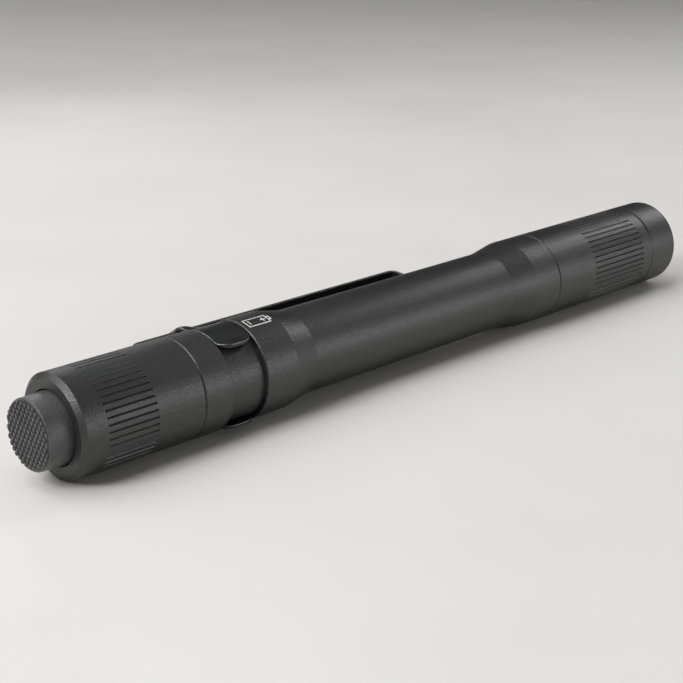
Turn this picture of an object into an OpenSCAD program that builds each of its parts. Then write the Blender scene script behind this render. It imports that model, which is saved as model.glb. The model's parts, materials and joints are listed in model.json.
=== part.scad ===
// Slim pocket torch for two AAA cells, lying level with its beam along +X.
// The origin is the centre of the front rim, +Z is up and the clip is at the back, towards +Y.
// Stations run along the axis from the tail face, and angles run from the back (+Y) over the top (+Z).

/* [Cells and tube] */
// Diameter of one AAA cell
cell_d = 10.5; // [9.5:0.1:11.5]
// Length of one AAA cell over its nub
cell_l = 44.5; // [42:0.1:50]
// Diameter of the cell's positive nub
nub_d = 3.8; // [3:0.1:5]
// Height of the cell's positive nub
nub_l = 0.9; // [0.5:0.1:1.2]
// Thickness of the cell's plastic jacket
jacket_t = 0.15; // [0.1:0.01:0.3]
// Width of the jacket's lip over the end of the cell
jacket_lip_w = 0.6; // [0.3:0.1:1.5]
// Radial room round the cells in the tube
cell_clearance = 0.15; // [0.1:0.01:0.5]
// Wall of the tube at its waist
tube_wall = 1.0; // [0.8:0.05:1.5]
// Length of the wide collar behind the clip seat
collar_l = 4.8; // [4.2:0.1:7]
// Width of the clip seat
seat_w = 6.2; // [5:0.1:8]
// Depth of the clip seat
seat_depth = 0.75; // [0.65:0.05:0.95]
// Length of the wide sleeve in front of the clip seat
sleeve_l = 5.8; // [3:0.1:9]
// Length of the taper from the sleeve down to the waist
sleeve_taper_l = 4.4; // [2:0.1:7]
// Length of the taper from the waist up to the neck
neck_taper_l = 5.3; // [2:0.1:8]
// Length of the wide neck behind the head
neck_l = 5.9; // [3:0.1:9]

/* [Screw joints] */
// Wall of the threaded spigots, up to the thread crest
spigot_wall = 1.0; // [0.8:0.05:1.3]
// Wall of the tail cap and head round the spigots
cap_wall = 0.8; // [0.7:0.05:1.6]
// Pitch of the threads
thread_pitch = 0.8; // [0.6:0.05:1]
// Turns of thread on each spigot
thread_turns = 4; // [3:1:6]
// Depth of the threads
thread_depth = 0.35; // [0.2:0.05:0.5]
// Flat crest of the thread, as a share of its pitch
thread_crest = 0.2; // [0.1:0.05:0.4]
// Radial gap between a thread crest and the bore that it screws into
thread_clearance = 0.1; // [0.05:0.01:0.2]
// Plain lead-in at the free end of a spigot, and relief behind its thread
thread_lead = 0.4; // [0.2:0.1:1]
// Cord diameter of the O-rings
o_ring_cord = 0.6; // [0.45:0.05:0.7]
// Radial gap of an O-ring to its seat and to its bore
o_ring_gap = 0.025; // [0.02:0.005:0.05]
// Side gap of an O-ring in its seat
o_ring_side_gap = 0.15; // [0.05:0.01:0.3]
// Plain land on each side of an O-ring seat
o_ring_land = 0.8; // [0.4:0.1:1.5]
// Chamfer at the seams and at the clip seat
edge_chamfer = 0.15; // [0.05:0.05:0.3]
// Step between a spigot's bore and the narrower pocket beyond it
pocket_step = 0.3; // [0.1:0.05:0.5]

/* [Grip grooves] */
// Groove positions round the cap and the head, two of which stay plain
groove_count = 48; // [24:2:60]
// Width of a groove at its mouth
groove_w = 0.3; // [0.2:0.05:0.5]
// Depth of a groove at the point of its V
groove_depth = 0.2; // [0.1:0.05:0.35]
// Distance of the cap's grooves from the tail face
cap_groove_from = 3.8; // [2:0.1:6]
// Length of the cap's grooves
cap_groove_l = 7.85; // [4:0.05:10]
// Angle of the plain strip between the cap's grooves
cap_strip_angle = 102; // [0:1:179]
// Distance of the head's grooves from the head's rear edge
head_groove_from = 10.0; // [8:0.1:11]
// Length of the head's grooves
head_groove_l = 14.1; // [8:0.1:15]
// Angle of the plain strip between the head's grooves
head_strip_angle = 112; // [0:1:179]

/* [Tail switch] */
// Diameter of the rubber boot
boot_d = 10.0; // [8:0.1:10.2]
// Height of the boot above the tail face
boot_h = 3.8; // [3:0.1:5]
// Wall of the boot
boot_wall = 0.9; // [0.6:0.05:1.2]
// Rounding of the boot's top edge
boot_edge_r = 0.2; // [0.1:0.05:0.6]
// Radial gap between the boot's side and the cap's hole
boot_clearance = 0.2; // [0.1:0.01:0.3]
// Draft of the boot's side, from its foot to its top
boot_draft = 0.1; // [0:0.05:0.3]
// How far the crown of the boot reaches into the cap's hole
crown_hem = 0.3; // [0.1:0.1:0.8]
// Radius of the post inside the boot
post_r = 1.6; // [1:0.1:2]
// How far that post reaches below the tail face
post_depth = 1.0; // [0.5:0.1:1.5]
// Travel of the push switch
press_travel = 1.6; // [1:0.1:1.8]
// Axial chamfer of the tail face
tail_chamfer_l = 0.6; // [0.3:0.05:1]
// Radial chamfer of the tail face
tail_chamfer_r = 0.75; // [0.3:0.05:0.9]
// Thickness of the cap's end wall
end_wall = 1.3; // [1:0.1:2]
// Thickness of the boot's clamped flange
flange_l = 1.0; // [0.6:0.1:1.5]
// Thickness of the washer under the flange
washer_l = 0.5; // [0.3:0.1:1]
// Thickness of the switch cover
cover_l = 1.0; // [0.6:0.1:1.5]
// Length of the switch housing
housing_l = 5.8; // [5.4:0.1:7]
// Wall and floor of the switch housing
housing_wall = 1.0; // [0.7:0.1:1.3]
// Diameter of the plunger's stem
plunger_d = 3.9; // [3:0.1:4.4]
// Thickness of the plunger's collar
plunger_collar_l = 1.0; // [0.6:0.1:1.2]
// Running gap round the plunger's stem
plunger_clearance = 0.05; // [0.03:0.01:0.1]
// Gap between the plunger's collar and the switch cover
collar_gap = 0.1; // [0.05:0.05:0.3]
// Room between the pieces inside the switch
switch_room = 0.3; // [0.2:0.05:0.4]
// Length of the pin that centres the return spring
spring_pin_l = 1.0; // [0.5:0.1:1.2]
// Width of a contact post, as a share of the bridge's width
post_share = 0.8; // [0.5:0.1:0.9]
// Wire of the return spring
return_wire_d = 0.35; // [0.25:0.05:0.4]
// Diameter of the return spring at its wire's centre
return_spring_d = 3.4; // [3:0.1:3.8]
// Turns of the return spring
return_turns = 3.5; // [3:0.5:3.5]
// Thickness of the contact bridge
bridge_t = 0.25; // [0.2:0.05:0.4]
// Thickness of the switch's circuit board
switch_board_t = 1.0; // [0.6:0.1:1.6]
// Length of the threaded ring that holds the switch
switch_ring_l = 1.6; // [1:0.1:2.5]
// Width of the ring's two spanner notches
notch_w = 1.2; // [0.8:0.1:2]
// Free length between that ring and the end of the tube
cap_spare_l = 0.8; // [0.4:0.1:2]
// Working length of the tail contact spring
tail_spring_l = 3.6; // [3.3:0.1:5]
// Radius of the tail contact spring at its base
tail_spring_base_r = 3.4; // [2.8:0.1:3.8]
// Radius of the tail contact spring at its tip
tail_spring_tip_r = 1.9; // [1.4:0.1:2.2]
// Wire of the tail contact spring
tail_wire_d = 0.5; // [0.4:0.05:0.6]
// Turns of the tail contact spring
tail_turns = 2.75; // [2:0.25:2.75]
// Radial room of the pieces in the cap and the head
pocket_clearance = 0.05; // [0.02:0.01:0.15]

/* [Clip] */
// Thickness of the clip's sheet
clip_t = 0.5; // [0.4:0.05:0.6]
// Width of the clip's arm
clip_arm_w = 7.4; // [5:0.1:8]
// Gap between the clip's band and the sides of its seat
clip_side_gap = 0.15; // [0.05:0.05:0.4]
// Gap between the band and the floor of its seat
clip_floor_gap = 0.08; // [0.05:0.01:0.12]
// Gap between the arm's lower leaf and the wide collar
clip_leaf_gap = 0.53; // [0.3:0.01:0.8]
// Half of the arc that the band covers, before its turned-out ends
clip_half_arc = 117.5; // [110:0.5:125]
// Bend radius of the band's turned-out ends, inside the bend
clip_flare_r = 2.1; // [1.5:0.1:3]
// Angle by which the band's ends turn out
clip_flare_angle = 45; // [20:1:60]
// Rounding of the band's end corners
clip_corner_r = 2.3; // [0.8:0.1:2.5]
// Gap between the wide collar and the arm
clip_standoff = 2.85; // [2.4:0.05:3.6]
// Distance from the band's rear edge back to the centre of the fold
clip_fold_back = 2.95; // [2:0.05:3]
// Length of the arm from the fold's centre to its foot
clip_reach = 51.0; // [35:0.5:58]
// Middle radius of the bend at the foot
foot_bend_r = 0.9; // [0.5:0.05:1.2]
// Angle by which the foot leans back past square
foot_lean = 10; // [0:1:20]
// Middle radius of the nose that slides on the tube
foot_nose_r = 0.75; // [0.5:0.05:0.9]
// Gap between the nose and the tube
foot_gap = 0.1; // [0.05:0.05:0.3]
// Angle at which the nose's turned-up end stops
foot_end_angle = 340; // [300:5:360]
// Half width of the root between the band and the arm's lower leaf
root_half_w = 2.6; // [1.5:0.1:3.2]
// Length over which that root slopes down to the band
root_l = 2.4; // [1.5:0.1:4]
// Spare angle in the slit at the fold, past the largest opening
fold_spare_angle = 4; // [2:0.5:8]
// Largest opening of the arm, as an angle at the fold
clip_open_angle = 4; // [1:0.5:6]

/* [Head] */
// Length of the bezel
bezel_l = 7.05; // [6.8:0.05:7.5]
// Wall of the head's nose that carries the bezel
nose_wall = 0.45; // [0.35:0.05:0.5]
// Length of the shallow bevel at the bezel's back edge, as deep as the chamfers at the seams
bezel_bevel_l = 0.4; // [0.2:0.05:0.6]
// Chamfer of the front rim
rim_chamfer = 0.2; // [0.1:0.05:0.45]
// Gap between the head's nose and the lens
nose_gap = 0.2; // [0.1:0.1:0.6]
// Free length between the front end of the tube and the front contact
contact_room = 0.7; // [0.4:0.1:1.5]
// How far the driver's pocket starts behind the contact's face
driver_pocket_gap = 0.2; // [0.1:0.1:0.3]
// Width of the ring that holds the driver
driver_ring_w = 1.6; // [1:0.1:2.5]
// Length of the front contact
contact_l = 0.8; // [0.6:0.1:2]
// Diameter of the front contact
contact_d = 3.0; // [2:0.1:4]
// Thickness of the driver board
driver_board_t = 1.0; // [0.6:0.1:1.6]
// Height of the tallest part on the driver board
driver_part_h = 1.6; // [1.2:0.1:2.5]
// Gap between that part and the heat sink
driver_gap = 0.4; // [0.2:0.1:1]
// Length of the heat sink
heat_sink_l = 8.5; // [6.5:0.1:9.5]
// Diameter of the lead holes through the heat sink
lead_hole_d = 1.4; // [1:0.1:1.6]
// Diameter of the leads
lead_d = 0.9; // [0.6:0.1:0.95]
// Distance between the two leads
lead_spacing = 8.4; // [7.6:0.1:9]
// Thickness of the LED board
led_board_t = 1.2; // [0.8:0.1:1.6]
// Side of the square LED package
led_side = 3.4; // [2.5:0.1:3.6]
// Height of the LED package
led_h = 0.6; // [0.4:0.1:0.8]
// Radius of the LED's silicone dome
led_dome_r = 1.25; // [0.8:0.05:1.25]
// Height of the centring ring
centering_l = 1.0; // [0.8:0.1:1.4]
// Width of the step between the centring ring's rim and the reflector's body
centering_step = 1.5; // [1:0.1:2.5]
// Length of the reflector's straight rim
reflector_rim_l = 3.0; // [1:0.1:5]
// Length of the reflector
reflector_l = 8.8; // [7.5:0.1:9.5]
// Radius of the reflector's rear opening
reflector_rear_r = 2.2; // [1.6:0.1:2.4]
// Wall of the reflector at its front edge
reflector_edge = 0.4; // [0.3:0.05:0.6]
// Thickness of the lens
lens_t = 1.4; // [1:0.1:2]
// Cord diameter of the lens seal
lens_seal_cord = 0.6; // [0.5:0.05:0.7]
// Length of the bezel's lip in front of the seal
lip_l = 1.3; // [0.9:0.1:2]
// Room round a ring or disc that is held in place
seat_gap = 0.02; // [0.01:0.01:0.05]
// Gap between a contact and the cell that it touches
touch_gap = 0.05; // [0.02:0.01:0.1]

/* [Hidden] */
$fn = 96;
eps = 0.01;

// Radii
cell_r = cell_d / 2;
bore_r = cell_r + cell_clearance;
waist_r = bore_r + tube_wall;
spigot_r = bore_r + spigot_wall;
thread_minor_r = spigot_r - thread_depth;
cap_bore_r = spigot_r + thread_clearance;
wide_r = cap_bore_r + cap_wall;
seat_r = wide_r - seat_depth;
o_seat_r = cap_bore_r - o_ring_cord - 2 * o_ring_gap;
o_ring_r = cap_bore_r - o_ring_gap - o_ring_cord / 2;
pocket_r = cap_bore_r - pocket_step;
inner_r = pocket_r - pocket_clearance;
nose_r = pocket_r + nose_wall;
bezel_bore_r = nose_r + pocket_clearance;
lens_r = bezel_bore_r - pocket_clearance;
opening_r = inner_r - reflector_edge;

// Stations of the tail cap's stack
s_flange = end_wall;
s_washer = s_flange + flange_l;
s_cover = s_washer + washer_l;
s_housing = s_cover + cover_l;
s_switch_board = s_housing + housing_l;
s_switch_ring = s_switch_board + switch_board_t;
s_spigot_rear = s_switch_ring + switch_ring_l + cap_spare_l;

// Lengths along a spigot, from its free end
o_seat_w = o_ring_cord + 2 * o_ring_side_gap;
d_thread = thread_lead;
d_relief = d_thread + thread_turns * thread_pitch;
d_land = d_relief + thread_lead;
d_o_seat = d_land + o_ring_land;
spigot_l = d_o_seat + o_seat_w + o_ring_land;

// Stations of the cells, the tube and the head, each worked out from the one behind it
cap_l = s_spigot_rear + spigot_l;
s_seat = cap_l + collar_l;
s_sleeve = s_seat + seat_w;
s_taper = s_sleeve + sleeve_l;
s_waist = s_taper + sleeve_taper_l;
s_cells = s_switch_ring + tail_spring_l;
s_contact = s_cells + 2 * cell_l;
s_spigot_front = s_contact - contact_room;
s_head = s_spigot_front - spigot_l;
s_neck = s_head - neck_l;
s_neck_taper = s_neck - neck_taper_l;
s_driver = s_contact + contact_l;
s_driver_parts = s_driver + driver_board_t;
s_heat_sink = s_driver_parts + driver_part_h + driver_gap;
s_led_board = s_heat_sink + heat_sink_l;
s_led = s_led_board + led_board_t;
s_reflector = s_led + centering_l;
s_lens = s_reflector + reflector_l;
s_lens_seal = s_lens + lens_t;
s_lip = s_lens_seal + lens_seal_cord + seat_gap;
overall_l = s_lip + lip_l;
s_bezel = overall_l - bezel_l;
s_nose_end = s_lens - nose_gap;
s_head_step = s_contact - driver_pocket_gap;
driver_ring_l = s_driver - s_head_step;

// Push switch
boot_r = boot_d / 2;
boot_hole_r = boot_r + boot_clearance;
plunger_r = plunger_d / 2;
s_collar = s_housing + collar_gap;
s_bridge = s_collar + plunger_collar_l;
cavity_r = inner_r - housing_wall;
collar_r = cavity_r - switch_room;
s_cavity_end = s_switch_board - housing_wall;
bridge_inner_r = return_spring_d / 2 + return_wire_d / 2 + switch_room;
bridge_outer_r = collar_r - switch_room;
spring_pin_r = return_spring_d / 2 - return_wire_d / 2 - switch_room;
s_posts = s_bridge + bridge_t + press_travel + touch_gap;
post_d = (bridge_outer_r - bridge_inner_r) * post_share;
post_ring_r = (bridge_outer_r + bridge_inner_r) / 2;
switch_ring_hole_r = tail_spring_base_r + tail_wire_d + switch_room;

// Clip
band_w = seat_w - 2 * clip_side_gap;
band_r = seat_r + clip_floor_gap;
s_band = s_seat + clip_side_gap;
leaf_y = wide_r + clip_leaf_gap;
arm_y = wide_r + clip_standoff;
fold_r = (arm_y - leaf_y) / 2;
fold_y = (arm_y + leaf_y + clip_t) / 2;
s_fold = s_band - clip_fold_back;
fold_slit_angle = clip_open_angle + fold_spare_angle;
corner_past = 0.05; // how far the rounding of the band's corners runs past the edges that it joins
band_steps = 30; // flats along half of the band's arc

// Finishes
anodised = "#26272a";
rubber = "#303135";
coated_steel = "#1c1d1f";
seal_rubber = "#17181a";
brass = "#c9a24a";
bare_aluminium = "#b9bcc0";
nickel = "#c4c6c8";
dark_plastic = "#222428";
board_green = "#1f5a3a";

// Lays the torch down along +X, with the front rim at the origin
module lay() {
    translate([-overall_l, 0, 0])
        rotate([0, 90, 0])
            children();
}

// Puts what lies along the local +X at an angle round the axis
module around(angle) {
    rotate([0, 0, angle + 90])
        children();
}

// A body of revolution from its half outline, as radius and station
module turned(outline) {
    rotate_extrude()
        polygon(outline);
}

// A plain ring between two radii
module ring(outer_r, inner_r, from, length) {
    translate([0, 0, from])
        difference() {
            cylinder(r = outer_r, h = length);
            translate([0, 0, -eps])
                cylinder(r = inner_r, h = length + 2 * eps);
        }
}

// A plain disc
module disc(r, from, length) {
    translate([0, 0, from])
        cylinder(r = r, h = length);
}

// A profile of station and depth, given a width across the clip
module across(width) {
    rotate([0, -90, 0])
        linear_extrude(height = width, center = true)
            children();
}

// Half outline of a round edge, from the flat top round to the side
function round_edge(r, s, edge, steps = 6) =
    [for (i = [0:steps]) [r - edge + edge * sin(90 * i / steps), s + edge - edge * cos(90 * i / steps)]];

// Half outline of a spigot: its thread, relief, land and O-ring seat, from its free end
function thread_tooth(i) = let (d = d_thread + i * thread_pitch) [
    [thread_minor_r, d],
    [spigot_r, d + (1 - thread_crest) / 2 * thread_pitch],
    [spigot_r, d + (1 + thread_crest) / 2 * thread_pitch]];
function spigot_outline() = concat(
    [[bore_r, 0], [thread_minor_r, 0]],
    [for (i = [0:thread_turns - 1]) each thread_tooth(i)],
    [[thread_minor_r, d_relief], [thread_minor_r, d_land], [spigot_r, d_land],
     [spigot_r, d_o_seat], [o_seat_r, d_o_seat],
     [o_seat_r, d_o_seat + o_seat_w], [spigot_r, d_o_seat + o_seat_w], [spigot_r, spigot_l]]);

// A list of points backwards, without its first point, and with its sides swapped
function backwards(list) = [for (i = [len(list) - 1:-1:0]) list[i]];
function rest(list) = [for (i = [1:len(list) - 1]) list[i]];
function flipped(list) = [for (p = list) [-p[0], p[1]]];

// Centre line of a coil spring, and the least gap between its turns
function coil_point(a, turns, r0, r1, from, length) =
    let (share = a / (360 * turns), r = r0 + (r1 - r0) * share)
    [r * cos(a), r * sin(a), from + length * share];
function coil_line(turns, r0, r1, from, length) =
    [for (i = [0:round(8 * turns)]) coil_point(45 * i, turns, r0, r1, from, length)];
function least_gap(line, wire_d) =
    min([for (i = [0:len(line) - 5], j = [i + 4:len(line) - 1]) norm(line[i] - line[j])]) - wire_d;

// A wire of six sides along a coil's centre line
module coil(line, wire_d) {
    sides = 6;
    rings = len(line);
    points = [for (i = [0:rings - 1], k = [0:sides - 1])
        let (
            before = line[max(i - 1, 0)],
            after = line[min(i + 1, rings - 1)],
            along = (after - before) / norm(after - before),
            out = [line[i][0], line[i][1], 0] / norm([line[i][0], line[i][1], 0]),
            side = cross(along, out) / norm(cross(along, out)),
            up = cross(side, along),
            a = 360 * k / sides)
        line[i] + wire_d / 2 * (up * cos(a) + side * sin(a))];
    walls = [for (i = [0:rings - 2], k = [0:sides - 1])
        let (
            n = (k + 1) % sides,
            p = i * sides,
            q = (i + 1) * sides)
        each [[p + k, q + n, p + n], [p + k, q + k, q + n]]];
    first = [for (k = [1:sides - 2]) [0, k, k + 1]];
    last = [for (k = [1:sides - 2]) let (p = (rings - 1) * sides) [p, p + k + 1, p + k]];
    polyhedron(points, concat(walls, first, last));
}

// V-shaped grip grooves round a wide section, with two plain strips opposite each other
module grip_grooves(from, length, strip_angle) {
    for (i = [0:groove_count - 1])
        if (i % (groove_count / 2) != 0)
            around(strip_angle + 360 * i / groove_count)
                translate([wide_r, 0, from])
                    linear_extrude(height = length)
                        polygon([[-groove_depth, 0], [groove_depth, -groove_w], [groove_depth, groove_w]]);
}

module tail_cap() {
    outline = [[boot_hole_r, 0], [wide_r - tail_chamfer_r, 0], [wide_r, tail_chamfer_l],
        [wide_r, cap_l - edge_chamfer], [wide_r - edge_chamfer, cap_l], [cap_bore_r, cap_l],
        [cap_bore_r, s_spigot_rear - thread_lead], [pocket_r, s_spigot_rear - thread_lead],
        [pocket_r, end_wall], [boot_hole_r, end_wall]];
    color(anodised) lay() difference() {
        turned(outline);
        grip_grooves(cap_groove_from, cap_groove_l, cap_strip_angle);
    }
}

// The button: a hollow crown with a post down to the plunger
module boot_crown() {
    hollow_r = boot_r - boot_draft - boot_wall;
    outline = concat(
        [[0, -boot_h]],
        round_edge(boot_r - boot_draft, -boot_h, boot_edge_r),
        [[boot_r, crown_hem], [hollow_r, crown_hem], [hollow_r, boot_wall - boot_h],
         [post_r, boot_wall - boot_h], [post_r, post_depth], [0, post_depth]]);
    color(rubber) lay() turned(outline);
}

module boot_skirt() {
    color(rubber) lay() ring(inner_r, boot_hole_r, s_flange, flange_l);
}

module boot_washer() {
    color(nickel) lay() ring(inner_r, boot_hole_r, s_washer, washer_l);
}

module switch_cover() {
    color(dark_plastic) lay() ring(inner_r, plunger_r + plunger_clearance, s_cover, cover_l);
}

module switch_plunger() {
    color("white") lay() {
        disc(plunger_r, post_depth, s_collar - post_depth);
        disc(collar_r, s_collar, plunger_collar_l);
        disc(spring_pin_r, s_bridge, spring_pin_l);
    }
}

module contact_bridge() {
    color(brass) lay() ring(bridge_outer_r, bridge_inner_r, s_bridge, bridge_t);
}

return_line = coil_line(return_turns, return_spring_d / 2, return_spring_d / 2,
    s_bridge + touch_gap + return_wire_d / 2,
    s_cavity_end - s_bridge - 2 * touch_gap - return_wire_d);

module return_spring() {
    color(nickel) lay() coil(return_line, return_wire_d);
}

module switch_contacts() {
    color(brass) lay()
        for (angle = [0, 180])
            around(angle)
                translate([post_ring_r, 0, s_posts])
                    cylinder(d = post_d, h = s_cavity_end - s_posts);
}

module switch_housing() {
    outline = [[0, s_cavity_end], [cavity_r, s_cavity_end], [cavity_r, s_housing],
        [inner_r, s_housing], [inner_r, s_switch_board], [0, s_switch_board]];
    color(dark_plastic) lay() turned(outline);
}

module switch_board() {
    color(board_green) lay() disc(inner_r, s_switch_board, switch_board_t);
}

module switch_ring() {
    color(brass) lay() difference() {
        ring(inner_r, switch_ring_hole_r, s_switch_ring, switch_ring_l);
        for (angle = [0, 180])
            around(angle)
                translate([0, -notch_w / 2, s_switch_ring + switch_ring_l / 2])
                    cube([inner_r + 1, notch_w, switch_ring_l]);
    }
}

tail_line = coil_line(tail_turns, tail_spring_base_r, tail_spring_tip_r,
    s_switch_ring + tail_wire_d / 2, tail_spring_l - touch_gap - tail_wire_d);

module tail_spring() {
    color(brass) lay() coil(tail_line, tail_wire_d);
}

module battery_tube() {
    rear = [for (p = spigot_outline()) [p[0], s_spigot_rear + p[1]]];
    front = backwards([for (p = spigot_outline()) [p[0], s_spigot_front - p[1]]]);
    outside = [[wide_r - edge_chamfer, cap_l], [wide_r, cap_l + edge_chamfer],
        [wide_r, s_seat - edge_chamfer], [wide_r - edge_chamfer, s_seat], [seat_r, s_seat],
        [seat_r, s_sleeve], [wide_r - edge_chamfer, s_sleeve], [wide_r, s_sleeve + edge_chamfer],
        [wide_r, s_taper], [waist_r, s_waist], [waist_r, s_neck_taper], [wide_r, s_neck],
        [wide_r, s_head - edge_chamfer], [wide_r - edge_chamfer, s_head]];
    color(anodised) lay() turned(concat(rear, outside, front));
}

// O-ring in the seat of a spigot
module o_ring(station) {
    color(seal_rubber) lay()
        rotate_extrude()
            translate([o_ring_r, station])
                circle(d = o_ring_cord);
}

module rear_o_ring() {
    o_ring(s_spigot_rear + d_o_seat + o_seat_w / 2);
}

module front_o_ring() {
    o_ring(s_spigot_front - d_o_seat - o_seat_w / 2);
}

// One cell in three pieces, its negative end at a station
can_r = cell_r - jacket_t - seat_gap;
can_l = cell_l - nub_l;
jacket_lip_r = can_r - jacket_lip_w;

module cell_can(from) {
    color(nickel) lay() disc(can_r, from + seat_gap, can_l - 2 * seat_gap - jacket_t);
}

module cell_jacket(from) {
    top = from + can_l;
    outline = [[can_r + seat_gap, from], [cell_r, from], [cell_r, top], [jacket_lip_r, top],
        [jacket_lip_r, top - jacket_t], [can_r + seat_gap, top - jacket_t]];
    color("#3c4650") lay() turned(outline);
}

module cell_nub(from) {
    color(nickel) lay() disc(nub_d / 2, from + can_l - jacket_t - seat_gap, nub_l + jacket_t);
}

module rear_cell_can() {
    cell_can(s_cells);
}

module rear_cell_jacket() {
    cell_jacket(s_cells);
}

module rear_cell_nub() {
    cell_nub(s_cells);
}

module front_cell_can() {
    cell_can(s_cells + cell_l);
}

module front_cell_jacket() {
    cell_jacket(s_cells + cell_l);
}

module front_cell_nub() {
    cell_nub(s_cells + cell_l);
}

// Points on an arc of the clip's sheet, for one of its faces
function bend(centre, r, a0, a1, steps = 8) =
    [for (i = [0:steps]) let (a = a0 + (a1 - a0) * i / steps) centre + r * [cos(a), sin(a)]];

// A face of the band from the arm to the upper end, given its radius and that of the turned-out end
function band_face(r, flare_r) =
    let (
        end = 90 + clip_half_arc,
        centre = (band_r + clip_t + clip_flare_r) * [cos(end), sin(end)])
    concat(bend([0, 0], r, 90, end, band_steps),
        rest(bend(centre, flare_r, end + 180, end + 180 - clip_flare_angle)));

// The band with both of its turned-out ends, seen along the axis
module band_section() {
    outer = band_face(band_r + clip_t, clip_flare_r);
    inner = band_face(band_r, clip_flare_r + clip_t);
    polygon(concat(backwards(flipped(rest(outer))), outer, backwards(inner), flipped(rest(inner))));
}

// What is cut off the two corners of the band's upper end to round them
module band_corners() {
    flare_end = (clip_flare_r + clip_t) * sin(clip_flare_angle);
    corner = [flare_end - clip_corner_r + corner_past, clip_corner_r - corner_past];
    translate([0, 0, s_band + band_w / 2])
        around(clip_half_arc)
            rotate([90, 0, 90])
                linear_extrude(height = band_r + clip_t + 2 * clip_flare_r)
                    for (side = [0, 1])
                        mirror([0, side])
                            translate([0, -band_w / 2])
                                difference() {
                                    translate([corner[0], -1])
                                        square([clip_corner_r + 1, clip_corner_r + 1]);
                                    translate(corner)
                                        circle(clip_corner_r);
                                }
}

// The root of the arm, sloping from its lower leaf into the band, between the band's two faces
module clip_root() {
    inset = clip_t / 4;
    difference() {
        across(2 * root_half_w)
            polygon([[s_band, 0], [s_band, leaf_y + clip_t], [s_band + root_l, band_r + clip_t - inset],
                [s_band + root_l, 0]]);
        translate([0, 0, s_band - eps])
            cylinder(r = band_r + inset, h = root_l + 2 * eps);
    }
}

// The clip's band, with the root of the arm and most of the fold
module clip_ring() {
    color(coated_steel) lay() {
        difference() {
            translate([0, 0, s_band])
                linear_extrude(height = band_w)
                    band_section();
            band_corners();
            mirror([1, 0, 0])
                band_corners();
        }
        clip_root();
        translate([-clip_arm_w / 2, leaf_y, s_fold])
            cube([clip_arm_w, clip_t, clip_fold_back + clip_t]);
        translate([-clip_arm_w / 2, fold_y, s_fold])
            rotate([0, 90, 0])
                rotate([0, 0, -90])
                    rotate_extrude(angle = 180 - fold_slit_angle)
                        translate([fold_r - clip_t / 2, 0])
                            square([clip_t, clip_arm_w]);
    }
}

// The clip's arm, bent in at its foot and rounded where it slides on the tube
module clip_arm() {
    half = clip_t / 2;
    heel = [s_fold + clip_reach, arm_y + half - foot_bend_r];
    nose_y = waist_r + foot_gap + half + foot_nose_r;
    lean = [sin(foot_lean), cos(foot_lean)];
    heel_end = heel + foot_bend_r * [cos(foot_lean), -sin(foot_lean)];
    shin = (heel_end[1] - nose_y - foot_nose_r * sin(foot_lean)) / lean[1];
    nose = heel_end - shin * lean + foot_nose_r * [cos(foot_lean), -sin(foot_lean)];
    outer = concat(
        [[s_fold, arm_y + clip_t]],
        bend(heel, foot_bend_r + half, 90, -foot_lean),
        bend(nose, foot_nose_r - half, 180 - foot_lean, foot_end_angle));
    inner = concat(
        [[s_fold, arm_y]],
        bend(heel, foot_bend_r - half, 90, -foot_lean),
        bend(nose, foot_nose_r + half, 180 - foot_lean, foot_end_angle));
    color(coated_steel) lay()
        across(clip_arm_w)
            polygon(concat(outer, backwards(inner)));
}

module head_shell() {
    outline = [[cap_bore_r, s_head], [wide_r - edge_chamfer, s_head], [wide_r, s_head + edge_chamfer],
        [wide_r, s_bezel - edge_chamfer], [wide_r - edge_chamfer, s_bezel], [nose_r, s_bezel],
        [nose_r, s_nose_end], [pocket_r, s_nose_end], [pocket_r, s_head_step],
        [cap_bore_r, s_head_step]];
    color(anodised) lay() difference() {
        turned(outline);
        grip_grooves(s_head + head_groove_from, head_groove_l, head_strip_angle);
    }
}

module bezel() {
    outline = [[bezel_bore_r, s_bezel], [wide_r - edge_chamfer, s_bezel],
        [wide_r, s_bezel + bezel_bevel_l], [wide_r, overall_l - rim_chamfer],
        [wide_r - rim_chamfer, overall_l], [opening_r + lip_l / 2, overall_l],
        [opening_r, overall_l - lip_l / 2], [opening_r, s_lip], [bezel_bore_r, s_lip]];
    color(anodised) lay() turned(outline);
}

module driver_ring() {
    color(brass) lay() ring(inner_r, inner_r - driver_ring_w, s_head_step, driver_ring_l);
}

module front_contact() {
    color(brass) lay() disc(contact_d / 2, s_contact + touch_gap, contact_l - touch_gap);
}

module driver_board() {
    color(board_green) lay() disc(inner_r, s_driver, driver_board_t);
}

// A coil block, a chip and a capacitor on the driver board
driver_blocks = [[-1.6, 0, 3.0, 3.0, 1], [1.9, 1.2, 2.2, 2.0, 0.5], [1.9, -1.6, 1.6, 0.8, 0.5]];

module driver_parts() {
    color("#3a3b3d") lay()
        for (b = driver_blocks)
            translate([b[0] - b[2] / 2, b[1] - b[3] / 2, s_driver_parts])
                cube([b[2], b[3], b[4] * driver_part_h]);
}

// Places the two leads, above and below the axis
module at_leads() {
    for (angle = [90, 270])
        around(angle)
            translate([lead_spacing / 2, 0, 0])
                children();
}

module heat_sink() {
    color(bare_aluminium) lay() difference() {
        disc(inner_r, s_heat_sink, heat_sink_l);
        at_leads()
            translate([0, 0, s_heat_sink - eps])
                cylinder(d = lead_hole_d, h = heat_sink_l + 2 * eps);
    }
}

module led_leads() {
    color("#b03028") lay()
        at_leads()
            translate([0, 0, s_driver_parts])
                cylinder(d = lead_d, h = s_led_board - s_driver_parts);
}

module led_board() {
    color("#e8e8e4") lay() disc(inner_r, s_led_board, led_board_t);
}

module led_package() {
    color("#ece9d8") lay()
        translate([-led_side / 2, -led_side / 2, s_led])
            cube([led_side, led_side, led_h]);
}

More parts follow.
